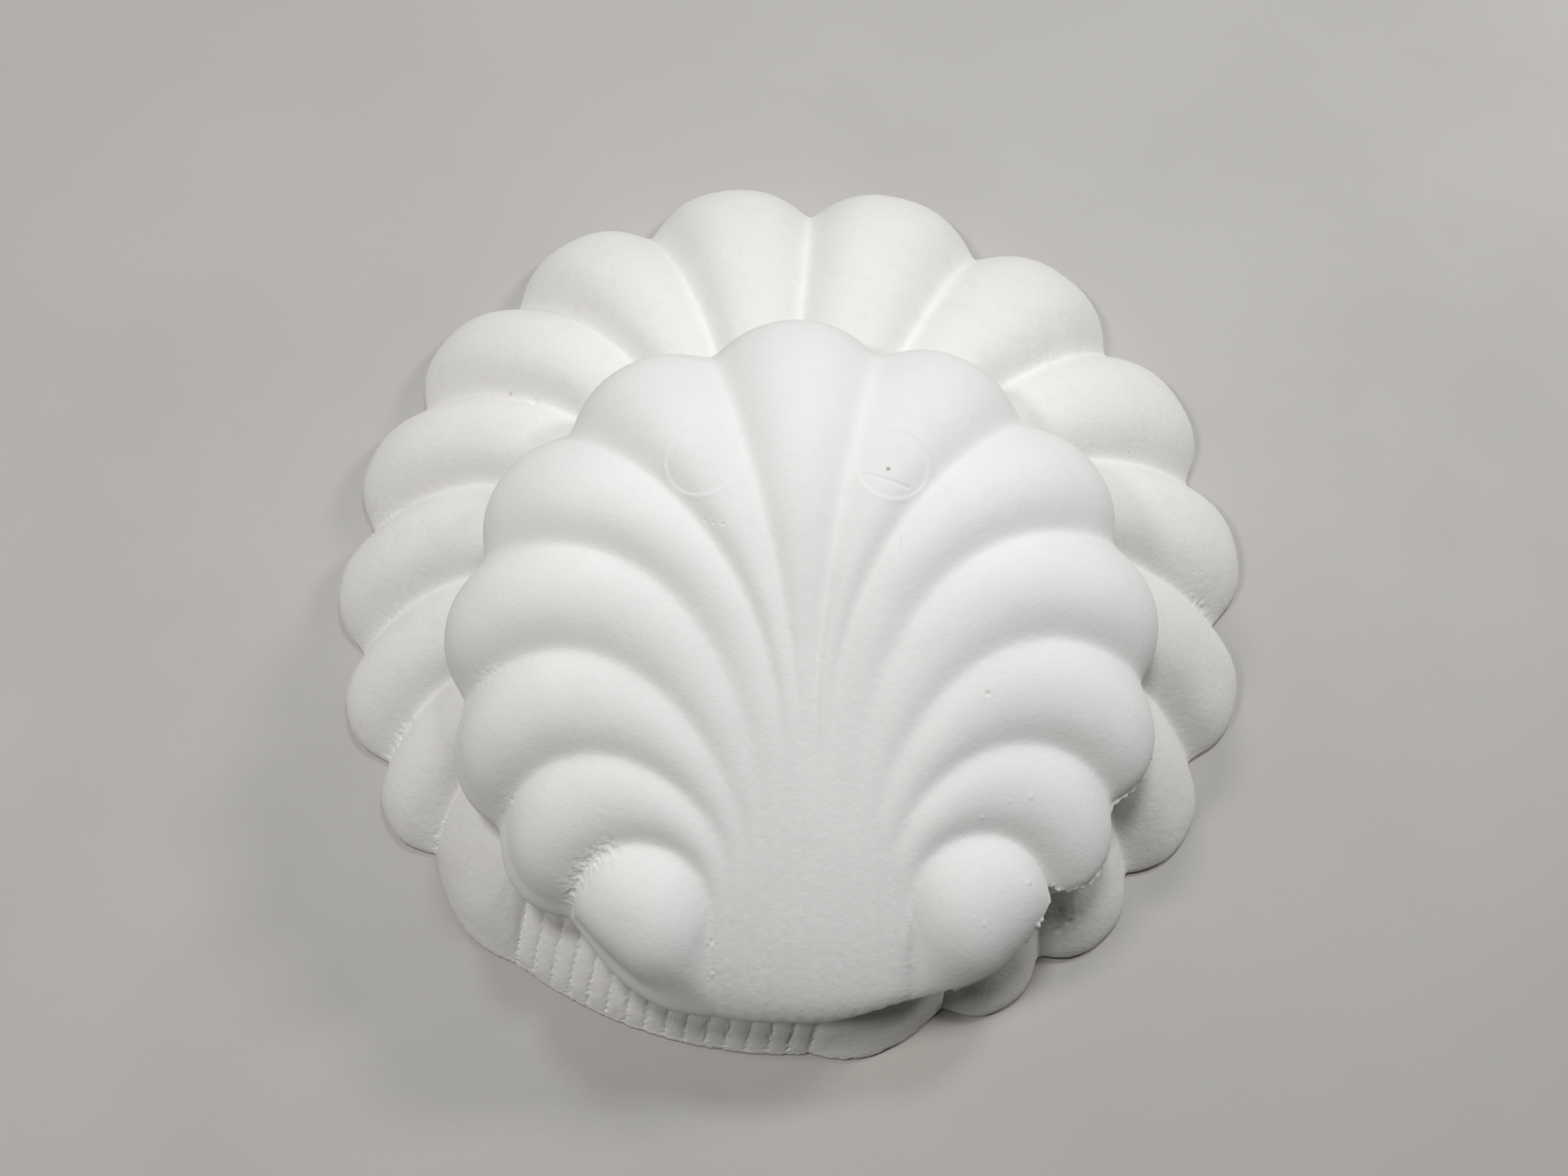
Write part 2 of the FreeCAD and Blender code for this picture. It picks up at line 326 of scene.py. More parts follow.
def scroll_grid(shell, side, grain):
    first = hinge_angle(shell, shell.hinge_half)
    last = notch_angle(shell, 1.0)
    along = np.linspace(0.0, 1.0, grain.along + 1)[:, None]
    groove = groove_point(shell, 1.0, along)
    rim = rim_point(shell, first + (last - first) * eased(along))
    width = np.linalg.norm(rim - groove, axis=-1)
    swell = shell.scroll_swell * np.sin(np.pi * eased(along))
    across = eased(np.linspace(0.0, 1.0, grain.scroll_across + 1))[None, :]
    plan = groove + (rim - groove) * across[..., None]
    rounding = shell.groove_round + SCROLL_BLEND * (1.0 - unworn(shell, 1.0, along))
    kept = smooth_step(eased(along) / shell.scroll_fade)
    kept = shell.hinge_relief + (1.0 - shell.hinge_relief) * kept
    roll = shell.scroll_relief * kept * width * lobe_section(shell, across, width, rounding)
    points = raised(shell, plan, roll + swell * across ** SWELL_POWER)
    points[..., 0] *= side
    gap = width * across
    return np.concatenate([points, gap[..., None]], axis=-1)


# ---- Meshes -----------------------------------------------------------------------------

def crown_grid(shell, grain):
    """The whole crown: rows from hinge to rim, columns from left scroll to right scroll."""
    left = scroll_grid(shell, -1.0, grain)[:, :0:-1]
    right = scroll_grid(shell, 1.0, grain)[:, 1:]
    lobes = [lobe_grid(shell, i, grain) for i in range(shell.lobes)]
    middle = [lobes[0]] + [lobe[:, 1:] for lobe in lobes[1:]]
    return np.concatenate([left] + middle + [right], axis=1)


def rim_loop(rows, columns, scroll_columns):
    """Grid places of the rim, in order: hinge, right scroll, rear, left scroll."""
    inner = columns - scroll_columns
    hinge = [(0, c) for c in range(scroll_columns, inner)]
    right = [(r, columns - 1) for r in range(1, rows)]
    rear = [(rows - 1, c) for c in range(inner - 1, scroll_columns - 1, -1)]
    left = [(r, 0) for r in range(rows - 2, 0, -1)]
    return hinge + right + rear + left


def back_points(rim):
    """Rings of the flat back, from its outline inwards, and then its middle."""
    reach = np.hypot(rim[:, 0], rim[:, 1])
    outline = rim * (1.0 - UNDERCUT / reach)[:, None]
    outline[:, 2] = 0.0
    rings = [outline * np.array([share, share, 1.0]) for share in BACK_RINGS]
    return np.concatenate(rings + [np.zeros((1, 3))])


def back_faces(loop, first):
    """Faces from the rim loop across those rings, numbered from first, to the middle."""
    size = len(loop)
    middle = first + size * len(BACK_RINGS)
    faces = []
    last = loop
    for start in range(first, middle, size):
        ring = list(range(start, start + size))
        for i in range(size):
            j = (i + 1) % size
            faces.append([last[j], last[i], ring[i], ring[j]])
        last = ring
    for i in range(size):
        j = (i + 1) % size
        faces.append([last[j], last[i], middle])
    return faces


def closed_mold(name, shell, grain):
    """A mold's mesh, with each point's distance to the nearest groove."""
    grid = crown_grid(shell, grain)
    rows, columns = grid.shape[:2]
    points = grid[..., :3].reshape(-1, 3)
    gaps = grid[..., 3].reshape(-1)
    index = np.arange(rows * columns).reshape(rows, columns)
    faces = np.stack([index[:-1, :-1], index[:-1, 1:], index[1:, 1:], index[1:, :-1]],
                     axis=-1).reshape(-1, 4).tolist()
    loop = [int(index[place]) for place in rim_loop(rows, columns, grain.scroll_across)]
    faces += back_faces(loop, len(points))
    back = back_points(points[loop])
    mesh = bpy.data.meshes.new(name)
    mesh.from_pydata(np.concatenate([points, back]).tolist(), [], faces)
    gap = mesh.attributes.new("groove_gap", "FLOAT", "POINT")
    gap.data.foreach_set("value", np.concatenate([gaps, np.full(len(back), FAR)]))
    return mesh


def window(x, start, end, fade):
    """1 between start and end, fading to 0 just inside them."""
    return smooth_step((x - start) / fade) * smooth_step((end - x) / fade)


def by_angle(table, angle):
    """Smooth curve through a table of (angle, value)."""
    value = np.full(len(angle), table[0][1])
    for (start, low), (end, high) in zip(table, table[1:]):
        value += (high - low) * smooth_step((angle - start) / (end - start))
    return value


def with_foot(shell, points):
    """The waist over the small mold's foot on the left, and its worn and broken lower edge.

    The large mold has neither, and stays as it is.
    """
    if shell is not SMALL:
        return points
    angle = np.degrees(np.arctan2(points[:, 0], points[:, 1]))
    foot = by_angle(FOOT, angle)
    height = np.maximum(points[:, 2] - RIM_LIFT, 0.0)
    waist = smooth_step(height / WAIST_FULL_AT)
    waist *= 1.0 - smooth_step((height - WAIST_FULL_AT) / (WAIST_TO - WAIST_FULL_AT))
    broken = by_angle(TRIM, angle)
    edge = BREAK_HEIGHT * broken
    edge += BREAK_WANDER * smooth_step(broken) * noise(points, BREAK_WAVE, 41)
    gone = smooth_step((edge - height) / BREAK_STEP)
    gone = broken * np.maximum(gone, 1.0 - smooth_step(height / WORN_HEIGHT))
    burr = np.maximum(BURR_BIAS + noise(points, BURR_LUMP, 42), 0.0)
    burr *= np.exp(-((height - edge) / BURR_HEIGHT) ** 2)
    burr *= BURR * window(angle, BURR_FROM, BURR_TO, BURR_FADE)
    distance = np.maximum(np.hypot(points[:, 0], points[:, 1]), 1.0)
    keep = 1.0 - (WAIST_DEPTH * foot * waist + gone - burr) / distance
    return points * np.stack([keep, keep, np.ones_like(keep)], axis=-1)


def merge_and_refine(mesh, spots):
    """Merges double points, and splits the faces around each spot (x, y, reach) finely."""
    work = bmesh.new()
    work.from_mesh(mesh)
    bmesh.ops.remove_doubles(work, verts=work.verts, dist=MERGE_WITHIN)
    for _ in range(REFINE_ROUNDS):
        edges = [e for e in work.edges if near_spot(e, spots)]
        bmesh.ops.subdivide_edges(work, edges=edges, cuts=1, use_grid_fill=True)
    bmesh.ops.triangulate(work, faces=[f for f in work.faces if len(f.verts) > 4])
    bmesh.ops.recalc_face_normals(work, faces=work.faces)
    work.to_mesh(mesh)
    work.free()


def near_spot(edge, spots):
    a, b = edge.verts
    if min(a.co.z, b.co.z) < RIM_LIFT + REFINED_OVER or edge.calc_length() < REFINED_EDGE:
        return False
    x = 0.5 * (a.co.x + b.co.x)
    y = 0.5 * (a.co.y + b.co.y)
    return any((x - s[0]) ** 2 + (y - s[1]) ** 2 < s[2] ** 2 for s in spots)


def read_points(mesh):
    points = np.empty(3 * len(mesh.vertices))
    normals = np.empty(3 * len(mesh.vertices))
    gaps = np.empty(len(mesh.vertices))
    mesh.vertices.foreach_get("co", points)
    mesh.vertices.foreach_get("normal", normals)
    mesh.attributes["groove_gap"].data.foreach_get("value", gaps)
    return points.reshape(-1, 3), normals.reshape(-1, 3), gaps


def add_mold(name, shell, grain, spots, stains, detail, placement):
    """One cast mold: its shell, then wear, surface detail and chips, scaled and placed."""
    mesh = closed_mold(name, shell, grain)
    merge_and_refine(mesh, spots)
    worn = with_foot(shell, read_points(mesh)[0])
    mesh.vertices.foreach_set("co", worn.reshape(-1))
    mesh.update()
    points, normals, gaps = read_points(mesh)
    stain = mesh.attributes.new("stain", "FLOAT", "POINT")
    stain.data.foreach_set("value", bumps(points, stains, FLAT_TOPPED))
    on_crown = smooth_step((points[:, 2] - RIM_LIFT) / DETAIL_FADE)
    points += normals * (detail(points, gaps) * on_crown)[:, None]
    mesh.vertices.foreach_set("co", chipped_rim(shell, points).reshape(-1))
    mesh.transform(Matrix.Scale(MM, 4))
    mesh.transform(placement)
    mesh.shade_smooth()
    mesh.set_sharp_from_angle(angle=math.radians(SHARP_ANGLE))
    mesh.update()
    mold = bpy.data.objects.new(name, mesh)
    bpy.context.collection.objects.link(mold)
    return mold


# ---- Surface detail ---------------------------------------------------------------------

# Crumbly spots in the grooves: x, y, reach and height of the crumbs, in mm.
SMALL_CRUMBS = [(-67.0, -68.0, 6.5, 0.24), (-74.0, -76.5, 4.5, 0.30), (-60.0, -61.5, 5.0, 0.12),
                (-96.5, -45.0, 6.0, 0.14), (-99.0, -7.0, 5.5, 0.12), (-30.5, -91.0, 2.5, 0.13),
                (-30.8, -101.0, 2.8, 0.13), (30.1, -86.0, 2.3, 0.12), (30.4, -99.0, 2.6, 0.12),
                (28.5, -108.0, 2.0, 0.12)]
LARGE_CRUMBS = [(-146.0, -17.0, 9.0, 0.28), (-128.0, -55.0, 8.0, 0.22), (-112.0, -91.0, 8.0, 0.28),
                (-97.0, -79.0, 7.0, 0.14), (-88.0, -118.0, 6.0, 0.22), (148.0, 38.0, 9.0, 0.20),
                (-108.0, 73.0, 7.0, 0.14), (70.0, 105.0, 7.0, 0.14), (119.0, -86.0, 5.5, 0.42)]
# Pits left by air bubbles: x, y, radius and depth.
SMALL_PITS = [(54.0, -18.0, 0.7, 0.35), (-26.5, 34.5, 0.45, 0.30), (-29.0, 35.5, 0.4, 0.25),
              (-23.5, 33.8, 0.45, 0.30), (26.4, 49.6, 0.5, 0.35)]
LARGE_PITS = [(-116.0, 39.0, 0.9, 0.7), (-104.5, 36.5, 1.5, 1.1), (121.0, -82.0, 0.9, 0.5),
              (125.0, -85.0, 0.8, 0.5), (122.5, -88.5, 0.9, 0.5), (118.0, -84.0, 0.7, 0.4)]
# Stained pits: x, y, radius and strength of the stain.
SMALL_STAINS = [(26.4, 49.6, 0.6, 0.8), (54.0, -18.0, 0.5, 0.25)]
LARGE_STAINS = [(-116.0, 39.0, 0.8, 0.3)]
# Little lumps of plaster: x, y, radius and height.
SMALL_LUMPS = [(66.7, -48.8, 0.8, 0.22), (51.6, -54.6, 0.6, 0.18), (51.3, -86.0, 0.7, 0.18),
               (65.8, -74.6, 0.7, 0.22), (60.0, -50.0, 0.5, 0.15)]

# Two shallow round marks on the small mold: x, y and depth.
SMALL_MARKS = [(-29.8, 54.2, 0.15), (28.0, 51.6, 0.15)]
MARK_RADIUS = 10.6
MARK_STEP = 0.7       # width of the step at a mark's edge
RING_HEIGHT = 0.07    # a faint raised ring runs around each mark,
RING_OUT = 1.2        # this far outside it
RING_WIDTH = 0.8
CHORD = ((19.5, 48.4), (32.5, 44.0))       # a scored line in the right one, x and y of its ends
CHORD_DEPTH = 0.20
CHORD_WIDTH = 0.5
HAIRLINE = ((28.2, 22.5), (29.2, 29.5))    # a short scratch in front of it
HAIRLINE_DEPTH = 0.15
HAIRLINE_WIDTH = 0.3

# Unevenness of the whole surface: size of the waves, their height, seed of the noise.
SMALL_WAVES = [(28.0, 0.22, 3), (11.0, 0.09, 4)]
LARGE_WAVES = [(30.0, 0.25, 13), (9.0, 0.10, 14), (2.2, 0.03, 15)]
DETAIL_FADE = 1.5     # height over the rim by which all surface detail is full

# Roughness along the grooves: how far from the groove, height, size of the grain.
SMALL_GROOVE_WIDTH = 2.0
SMALL_GROOVE_ROUGH = 0.05
SMALL_GROOVE_GRAIN = 1.6
LARGE_GROOVE_WIDTH = 1.5
LARGE_GROOVE_ROUGH = 0.06
LARGE_HINGE_ROUGH = 0.22   # added to it on the flutes at the hinge
LARGE_HINGE_FROM = 100.0   # which start this far in front of the centre
LARGE_HINGE_FADE = 15.0
LARGE_GROOVE_GRAIN = 1.0
LARGE_FINE_GRAIN = 0.6
LARGE_FINE_SHARE = 0.8

CRUMB = 1.5           # size of the crumbs
FINE_CRUMB = 0.8      # size of the finer ones among them
FINE_CRUMB_SHARE = 0.6
CRUMB_HEIGHT = 0.8    # height of the crumbs, as a share of a spot's height
CRUMB_CRISP = 3.0     # how steep their sides are
SMALL_CRUMB_WIDTH = 5.0    # how far from the groove they reach
LARGE_CRUMB_WIDTH = 4.0

# Faint remains of the flutes at the small mold's hinge.
FLUTE_HEIGHT = 0.035
FLUTE_SIDE_FADE = 6.0
FLUTE_FROM = 25.0     # they start this far in front of the centre
FLUTE_FADE = 25.0     # and take this far to reach their height

# Nibbles at the sharp rim.
CHIP_DEPTH = 1.3
CHIP_REACH = 1.6      # how far over and under the rim they go
CHIP_SIZE = 2.4
FINE_CHIP_SIZE = 1.0
FINE_CHIP_SHARE = 0.5
CHIPPED_LARGE = 0.25  # share of that depth on the large mold
CHIPPED_SMALL = 0.2   # and on the small one, except where it is chipped most:
CHIPPED_FROM = 112.0  # from this angle
CHIPPED_TO = 160.0    # to this one
CHIPPED_FADE = 10.0

# Powers for bumps().
SOFT = 2.0
FLAT_TOPPED = 4.0


def bumps(points, spots, power):
    """Sum of round bumps; each spot is x, y, radius and height."""
    total = np.zeros(len(points))
    for x, y, radius, height in spots:
        share = np.hypot(points[:, 0] - x, points[:, 1] - y) / radius
        total += height * np.exp(-share ** power)
    return total


def crumbs(points, gaps, spots, reach, seed):
    """Broken, crumbly plaster around the floors of the grooves near some spots."""
    amount = bumps(points, spots, SOFT) * np.exp(-(gaps / reach) ** 2)
    coarse = np.tanh(CRUMB_CRISP * noise(points, CRUMB, seed))
    fine = np.tanh(CRUMB_CRISP * noise(points, FINE_CRUMB, seed + 1))
    return CRUMB_HEIGHT * amount * (coarse + FINE_CRUMB_SHARE * fine)


def line_gap(points, start, end):
    """Distance in plan from a short straight line."""
    a = np.array(start)
    b = np.array(end)
    p = points[:, :2]
    share = np.clip(((p - a) @ (b - a)) / np.dot(b - a, b - a), 0.0, 1.0)
    return np.linalg.norm(p - (a + share[:, None] * (b - a)), axis=-1)


def round_marks(points):
    total = np.zeros(len(points))
    for x, y, depth in SMALL_MARKS:
        distance = np.hypot(points[:, 0] - x, points[:, 1] - y)
        total -= depth * (1.0 - smooth_step((distance - MARK_RADIUS) / MARK_STEP))
        total += RING_HEIGHT * np.exp(-((distance - MARK_RADIUS - RING_OUT) / RING_WIDTH) ** 2)
    total -= CHORD_DEPTH * np.exp(-(line_gap(points, *CHORD) / CHORD_WIDTH) ** 2)
    total -= HAIRLINE_DEPTH * np.exp(-(line_gap(points, *HAIRLINE) / HAIRLINE_WIDTH) ** 2)
    return total


def worn_flutes(points):
    """The faint remains of the flutes at the small mold's hinge."""
    share = smooth_step((SMALL.hinge_half - np.abs(points[:, 0])) / FLUTE_SIDE_FADE)
    share *= smooth_step((-FLUTE_FROM - points[:, 1]) / FLUTE_FADE)
    per_mm = 0.5 * SMALL.lobes / SMALL.hinge_half
    return FLUTE_HEIGHT * share * np.cos(2.0 * np.pi * per_mm * points[:, 0])


def waves(points, table):
    """Sum of smooth noises; each row is size, height and seed."""
    return sum(height * noise(points, size, seed) for size, height, seed in table)


def small_detail(points, gaps):
    total = waves(points, SMALL_WAVES)
    in_groove = np.exp(-(gaps / SMALL_GROOVE_WIDTH) ** 2)
    total += SMALL_GROOVE_ROUGH * in_groove * noise(points, SMALL_GROOVE_GRAIN, 5)
    total += crumbs(points, gaps, SMALL_CRUMBS, SMALL_CRUMB_WIDTH, 6)
    total += bumps(points, SMALL_LUMPS, SOFT) - bumps(points, SMALL_PITS, FLAT_TOPPED)
    return total + round_marks(points) + worn_flutes(points)


def large_detail(points, gaps):
    total = waves(points, LARGE_WAVES)
    at_hinge = smooth_step((-LARGE_HINGE_FROM - points[:, 1]) / LARGE_HINGE_FADE)
    in_groove = np.exp(-(gaps / LARGE_GROOVE_WIDTH) ** 2)
    rough = in_groove * (LARGE_GROOVE_ROUGH + LARGE_HINGE_ROUGH * at_hinge)
    coarse = noise(points, LARGE_GROOVE_GRAIN, 16)
    total += rough * (coarse + LARGE_FINE_SHARE * noise(points, LARGE_FINE_GRAIN, 17))
    total += crumbs(points, gaps, LARGE_CRUMBS, LARGE_CRUMB_WIDTH, 18)
    return total - bumps(points, LARGE_PITS, FLAT_TOPPED)


def chipped_rim(shell, points):
    """Nibbles at the sharp rim, mostly along the small mold's right front."""
    angle = np.degrees(np.arctan2(points[:, 0], points[:, 1]))
    near_rim = 1.0 - smooth_step(np.abs(points[:, 2] - RIM_LIFT) / CHIP_REACH)
    distance = np.maximum(np.hypot(points[:, 0], points[:, 1]), 1.0)
    on_rim = near_rim * smooth_step((distance / shell.radius - 0.8) / 0.1)
    chipped = CHIPPED_LARGE
    if shell is SMALL:
        most = window(angle, CHIPPED_FROM, CHIPPED_TO, CHIPPED_FADE)
        chipped = CHIPPED_SMALL + (1.0 - CHIPPED_SMALL) * most
    nibble = np.maximum(noise(points, CHIP_SIZE, 31), 0.0)
    nibble += FINE_CHIP_SHARE * noise(points, FINE_CHIP_SIZE, 32)
    moved = distance - CHIP_DEPTH * chipped * on_rim * nibble
    keep = moved / distance
    return points * np.stack([keep, keep, np.ones_like(keep)], axis=-1)


# ---- Materials --------------------------------------------------------------------------

Plaster = namedtuple("Plaster", [
    "colour",      # the plaster itself
    "dust",        # tint of the rubbed and dusty areas
    "stain",       # tint of the odd stained pit
    "roughness",
    "grain",       # height of the fine grain, m
    "holes",       # share of the surface's cells with a pinhole
])
LARGE_PLASTER = Plaster(colour=(0.80, 0.79, 0.77), dust=(0.76, 0.735, 0.69),
                        stain=(0.35, 0.25, 0.15), roughness=0.88, grain=0.00010, holes=0.10)
SMALL_PLASTER = Plaster(colour=(0.79, 0.79, 0.78), dust=(0.755, 0.755, 0.745),
                        stain=(0.25, 0.16, 0.09), roughness=0.80, grain=0.00006, holes=0.06)

# Noises: scale per metre, and layers of detail.
MOTTLE_NOISE = (22.0, 3.0)
DUST_NOISE = (130.0, 5.0)
GRAIN_NOISE = (1500.0, 3.0)
TOOTH_NOISE = (420.0, 4.0)
CLOUD_NOISE = (9.0, 4.0)
FLOOR_NOISE = (700.0, 3.0)

# Values of a noise between which its effect sets in.
MOTTLE_RANGE = (0.35, 0.65)
DUST_RANGE = (0.50, 0.72)
GRAIN_RANGE = (0.3, 0.7)
CLOUD_RANGE = (0.3, 0.7)

DUST_MOST = 0.55          # share of the dust's tint in the dustiest places
DUST_ROUGHER = 0.1        # dust makes the plaster this much rougher
GRAIN_PAINTED_SHADE_MOST = 0.12         # share of the painted shade in the hollows between the grains
HOLE_PAINTED_SHADE_MOST = 0.5           # share of the painted shade in a pinhole
MOTTLE_SHADE = 0.975      # tones, as shares of the plaster's own colour: the mottling's, and the painted shade in the grain's hollows and in the pinholes
GRAIN_HOLLOW_PAINTED_SHADE = 0.8
HOLE_PAINTED_SHADE = 0.45
HOLE_CELLS = 260.0        # cells per metre that may each hold a pinhole
HOLE_SIZE = 0.085         # radius of a pinhole, as a share of its cell
TOOTH_HEIGHT = 2.0        # heights, in heights of the fine grain
HOLE_DEPTH = 4.0
SHINE = 0.35

FLOOR_COLOUR = (0.46, 0.445, 0.42)
CLOUD_SHADE = 0.96        # the floor's clouds, as a share of its colour
FLOOR_ROUGHNESS = (0.60, 0.68)
FLOOR_GRAIN = 0.00008     # height of the floor's grain, m


class Nodes:
    """Small helper that adds and links the nodes of one material."""

    def __init__(self, name):
        self.material = bpy.data.materials.new(name)
        self.material.use_nodes = True
        self.tree = self.material.node_tree
        self.shader = self.tree.nodes["Principled BSDF"]
        self.place = self.add("ShaderNodeTexCoord").outputs["Object"]

    def add(self, kind):
        return self.tree.nodes.new(kind)

    def feed(self, value, socket):
        if isinstance(value, bpy.types.NodeSocket):
            self.tree.links.new(value, socket)
        else:
            socket.default_value = value

    def noise(self, scale, detail):
        node = self.add("ShaderNodeTexNoise")
        self.feed(self.place, node.inputs["Vector"])
        node.inputs["Scale"].default_value = scale
        node.inputs["Detail"].default_value = detail
        return node.outputs["Fac"]

    def cells(self, scale, output):
        node = self.add("ShaderNodeTexVoronoi")
        self.feed(self.place, node.inputs["Vector"])
        node.inputs["Scale"].default_value = scale
        return node.outputs[output]

    def ramp(self, value, low, high, out_low=0.0, out_high=1.0):
        node = self.add("ShaderNodeMapRange")
        node.interpolation_type = "SMOOTHSTEP"
        for socket, number in zip(node.inputs, (value, low, high, out_low, out_high)):
            self.feed(number, socket)
        return node.outputs["Result"]

    def times(self, first, second):
        node = self.add("ShaderNodeMath")
        node.operation = "MULTIPLY"
        self.feed(first, node.inputs[0])
        self.feed(second, node.inputs[1])
        return node.outputs["Value"]

    def attribute(self, name):
        node = self.add("ShaderNodeAttribute")
        node.attribute_name = name
        return node.outputs["Fac"]

    def mix(self, share, first, second):
        node = self.add("ShaderNodeMix")
        node.data_type = "RGBA"
        self.feed(share, node.inputs["Factor"])
        for socket, value in ((node.inputs[6], first), (node.inputs[7], second)):
            self.feed((*value, 1.0) if isinstance(value, tuple) else value, socket)
        return node.outputs[2]

    def bump(self, height, distance, below=None):
        node = self.add("ShaderNodeBump")
        node.inputs["Distance"].default_value = distance
        self.feed(height, node.inputs["Height"])
        if below is not None:
            self.feed(below, node.inputs["Normal"])
        return node.outputs["Normal"]


def shade(colour, share):
    return tuple(channel * share for channel in colour)


def plaster(name, kind):
    """Cast plaster: faint mottling, rubbed dusty patches, fine grain and pinholes, with painted
    shade in the grain's hollows and in the pinholes.
    """
    nodes = Nodes(name)
    mottle = nodes.ramp(nodes.noise(*MOTTLE_NOISE), *MOTTLE_RANGE)
    dust = nodes.ramp(nodes.noise(*DUST_NOISE), *DUST_RANGE, 0.0, DUST_MOST)
    grain = nodes.noise(*GRAIN_NOISE)
    tooth = nodes.noise(*TOOTH_NOISE)
    chosen = nodes.ramp(nodes.cells(HOLE_CELLS, "Color"), 1.0 - kind.holes, 1.01 - kind.holes)
    hole = nodes.times(nodes.ramp(nodes.cells(HOLE_CELLS, "Distance"), 0.5 * HOLE_SIZE,
                                  HOLE_SIZE, 1.0, 0.0), chosen)
    colour = nodes.mix(mottle, kind.colour, shade(kind.colour, MOTTLE_SHADE))
    colour = nodes.mix(dust, colour, kind.dust)
    # Painted shade in the hollows of the fine grain: darker where the grain's bump is low.
    colour = nodes.mix(nodes.ramp(grain, *GRAIN_RANGE, GRAIN_PAINTED_SHADE_MOST, 0.0), colour,
                       shade(kind.colour, GRAIN_HOLLOW_PAINTED_SHADE))
    # Painted shade in the pinholes, which the bump below also sinks.
    colour = nodes.mix(nodes.times(hole, HOLE_PAINTED_SHADE_MOST), colour, shade(kind.colour, HOLE_PAINTED_SHADE))
    colour = nodes.mix(nodes.attribute("stain"), colour, kind.stain)
    nodes.feed(colour, nodes.shader.inputs["Base Color"])
    roughest = min(kind.roughness + DUST_ROUGHER, 1.0)
    nodes.feed(nodes.ramp(dust, 0.0, 1.0, kind.roughness, roughest),
               nodes.shader.inputs["Roughness"])
    nodes.shader.inputs["Specular IOR Level"].default_value = SHINE
    normal = nodes.bump(tooth, TOOTH_HEIGHT * kind.grain)
    normal = nodes.bump(grain, kind.grain, normal)
    normal = nodes.bump(hole, -HOLE_DEPTH * kind.grain, normal)
    nodes.feed(normal, nodes.shader.inputs["Normal"])
    return nodes.material


def floor_paint():
    """A plain pale floor with a very faint cloudiness."""
    nodes = Nodes("floor_paint")
    clouds = nodes.ramp(nodes.noise(*CLOUD_NOISE), *CLOUD_RANGE)
    nodes.feed(nodes.mix(clouds, FLOOR_COLOUR, shade(FLOOR_COLOUR, CLOUD_SHADE)),
               nodes.shader.inputs["Base Color"])
    nodes.feed(nodes.ramp(clouds, 0.0, 1.0, *FLOOR_ROUGHNESS), nodes.shader.inputs["Roughness"])
    nodes.feed(nodes.bump(nodes.noise(*FLOOR_NOISE), FLOOR_GRAIN), nodes.shader.inputs["Normal"])
    return nodes.material


# ---- The two molds ----------------------------------------------------------------------

# Where the meshes are fine: x, y and reach of each patch.
LARGE_PIT_PATCHES = [(-110.0, 38.0, 9.0), (122.0, -85.0, 8.0)]
HAIRLINE_PATCH = (28.7, 26.0, 4.5)
CRUMB_MARGIN = 1.3    # a patch's reach, as a multiple of its crumbs' reach
MARK_MARGIN = 2.5     # how far a patch goes past a round mark
SMALL_PIT_REACH = 3.0
BREAK_REACH = 8.0
BREAK_ANGLES = range(104, 164, 5)   # places along the small mold's broken edge
JUST_OUTSIDE = 1.01   # of the rim, as a share of its radius


def around_crumbs(crumb_spots):
    return [(x, y, CRUMB_MARGIN * reach) for x, y, reach, _ in crumb_spots]


def large_spots():
    return around_crumbs(LARGE_CRUMBS) + LARGE_PIT_PATCHES


def small_spots():
    spots = around_crumbs(SMALL_CRUMBS)
    spots += [(x, y, MARK_RADIUS + MARK_MARGIN) for x, y, _ in SMALL_MARKS]
    spots += [(x, y, SMALL_PIT_REACH) for x, y, _, _ in SMALL_LUMPS + SMALL_PITS]
    spots.append(HAIRLINE_PATCH)
    for angle in BREAK_ANGLES:
        x, y = JUST_OUTSIDE * rim_point(SMALL, float(angle))
        spots.append((x, y, BREAK_REACH))
    return spots


def small_placement():
    turn = Matrix.Rotation(math.radians(SMALL_YAW), 4, "Z")
    lean = Matrix.Rotation(math.radians(SMALL_PITCH), 4, "X")
    return Matrix.Translation(Vector(SMALL_CENTRE) * MM) @ turn @ lean


def add_large_mold():
    large = add_mold("large_mold_cast", LARGE, LARGE_GRAIN, large_spots(), LARGE_STAINS,
                     large_detail, Matrix.Identity(4))
    large.data.materials.append(plaster("plaster_large", LARGE_PLASTER))
    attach(large, "large_mold")
    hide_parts("large_shell_mold")


def add_small_mold():
    small = add_mold("small_mold_cast", SMALL, SMALL_GRAIN, small_spots(), SMALL_STAINS,
                     small_detail, small_placement())
    small.data.materials.append(plaster("plaster_small", SMALL_PLASTER))
    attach(small, "small_mold")
    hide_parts("small_shell_mold")


# ---- Stage, light, camera ---------------------------------------------------------------

CAMERA_PLACE = (0.034056, -0.113130, 0.427700)   # m
CAMERA_TURN = (16.0694, 0.1425, 16.1511)         # degrees
CAMERA_LENS = 27.016                             # mm
SENSOR_WIDTH = 36.0
FLOOR_HALF = 3.0      # half the floor's side, m
FILL_COLOUR = (0.93, 0.96, 1.0, 1.0)
FILL_STRENGTH = 0.02

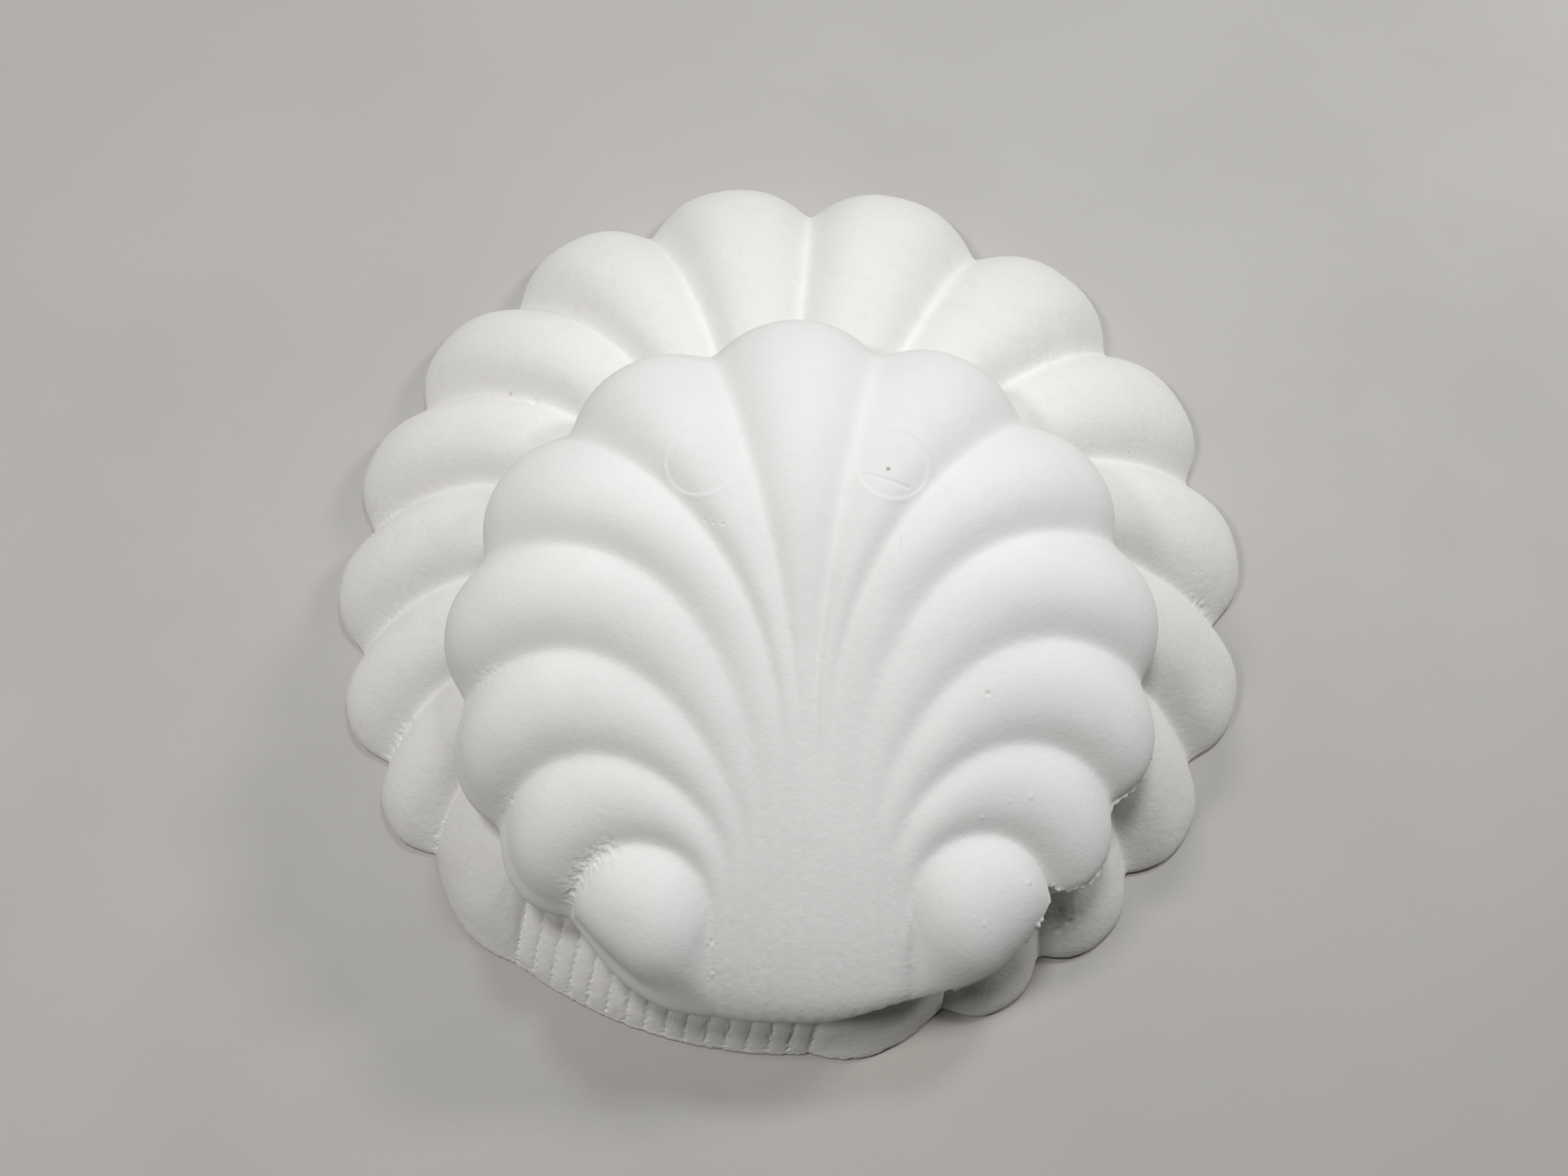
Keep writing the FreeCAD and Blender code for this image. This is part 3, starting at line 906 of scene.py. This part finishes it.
# Soft round lamps aimed at the object; azimuth is measured from +Y towards +X, in degrees.
Lamp = namedtuple("Lamp", "name azimuth elevation size power colour")
LAMP_DISTANCE = 1.6   # m
LAMPS = [
    Lamp("overhead_softbox", -45.0, 76.0, 0.28, 9.8, (1.0, 0.995, 0.98)),
    Lamp("rear_softbox", 8.0, 55.0, 0.22, 5.5, (0.92, 0.97, 1.0)),
    Lamp("left_softbox", -108.0, 55.0, 0.25, 7.0, (1.0, 0.985, 0.96)),
    Lamp("right_rear_softbox", 45.0, 35.0, 0.25, 7.9, (1.0, 0.985, 0.97)),
]


def add_floor():
    far = FLOOR_HALF
    mesh = bpy.data.meshes.new("floor")
    mesh.from_pydata([(-far, -far, 0), (far, -far, 0), (far, far, 0), (-far, far, 0)],
                     [], [(0, 1, 2, 3)])
    floor = bpy.data.objects.new("floor", mesh)
    bpy.context.collection.objects.link(floor)
    mesh.materials.append(floor_paint())


def add_lamp(lamp):
    turn = math.radians(lamp.azimuth)
    rise = math.radians(lamp.elevation)
    direction = Vector((math.sin(turn) * math.cos(rise), math.cos(turn) * math.cos(rise),
                        math.sin(rise)))
    light = bpy.data.lights.new(lamp.name, "AREA")
    light.shape = "DISK"
    light.size = lamp.size
    light.energy = lamp.power
    light.color = lamp.colour
    holder = bpy.data.objects.new(lamp.name, light)
    holder.location = direction * LAMP_DISTANCE
    holder.rotation_euler = direction.to_track_quat("Z", "Y").to_euler()
    bpy.context.collection.objects.link(holder)


def add_camera():
    camera = bpy.data.cameras.new("camera")
    camera.lens = CAMERA_LENS
    camera.sensor_width = SENSOR_WIDTH
    camera.sensor_fit = "HORIZONTAL"
    holder = bpy.data.objects.new("camera", camera)
    holder.location = CAMERA_PLACE
    holder.rotation_euler = Euler([math.radians(a) for a in CAMERA_TURN], "XYZ")
    bpy.context.collection.objects.link(holder)
    bpy.context.scene.camera = holder


def set_world():
    world = bpy.data.worlds.new("world")
    world.use_nodes = True
    back = world.node_tree.nodes["Background"]
    back.inputs["Color"].default_value = FILL_COLOUR
    back.inputs["Strength"].default_value = FILL_STRENGTH
    bpy.context.scene.world = world


add_large_mold()
add_small_mold()
add_floor()
for soft_lamp in LAMPS:
    add_lamp(soft_lamp)
set_world()
add_camera()
bpy.context.scene.view_settings.view_transform = "Standard"
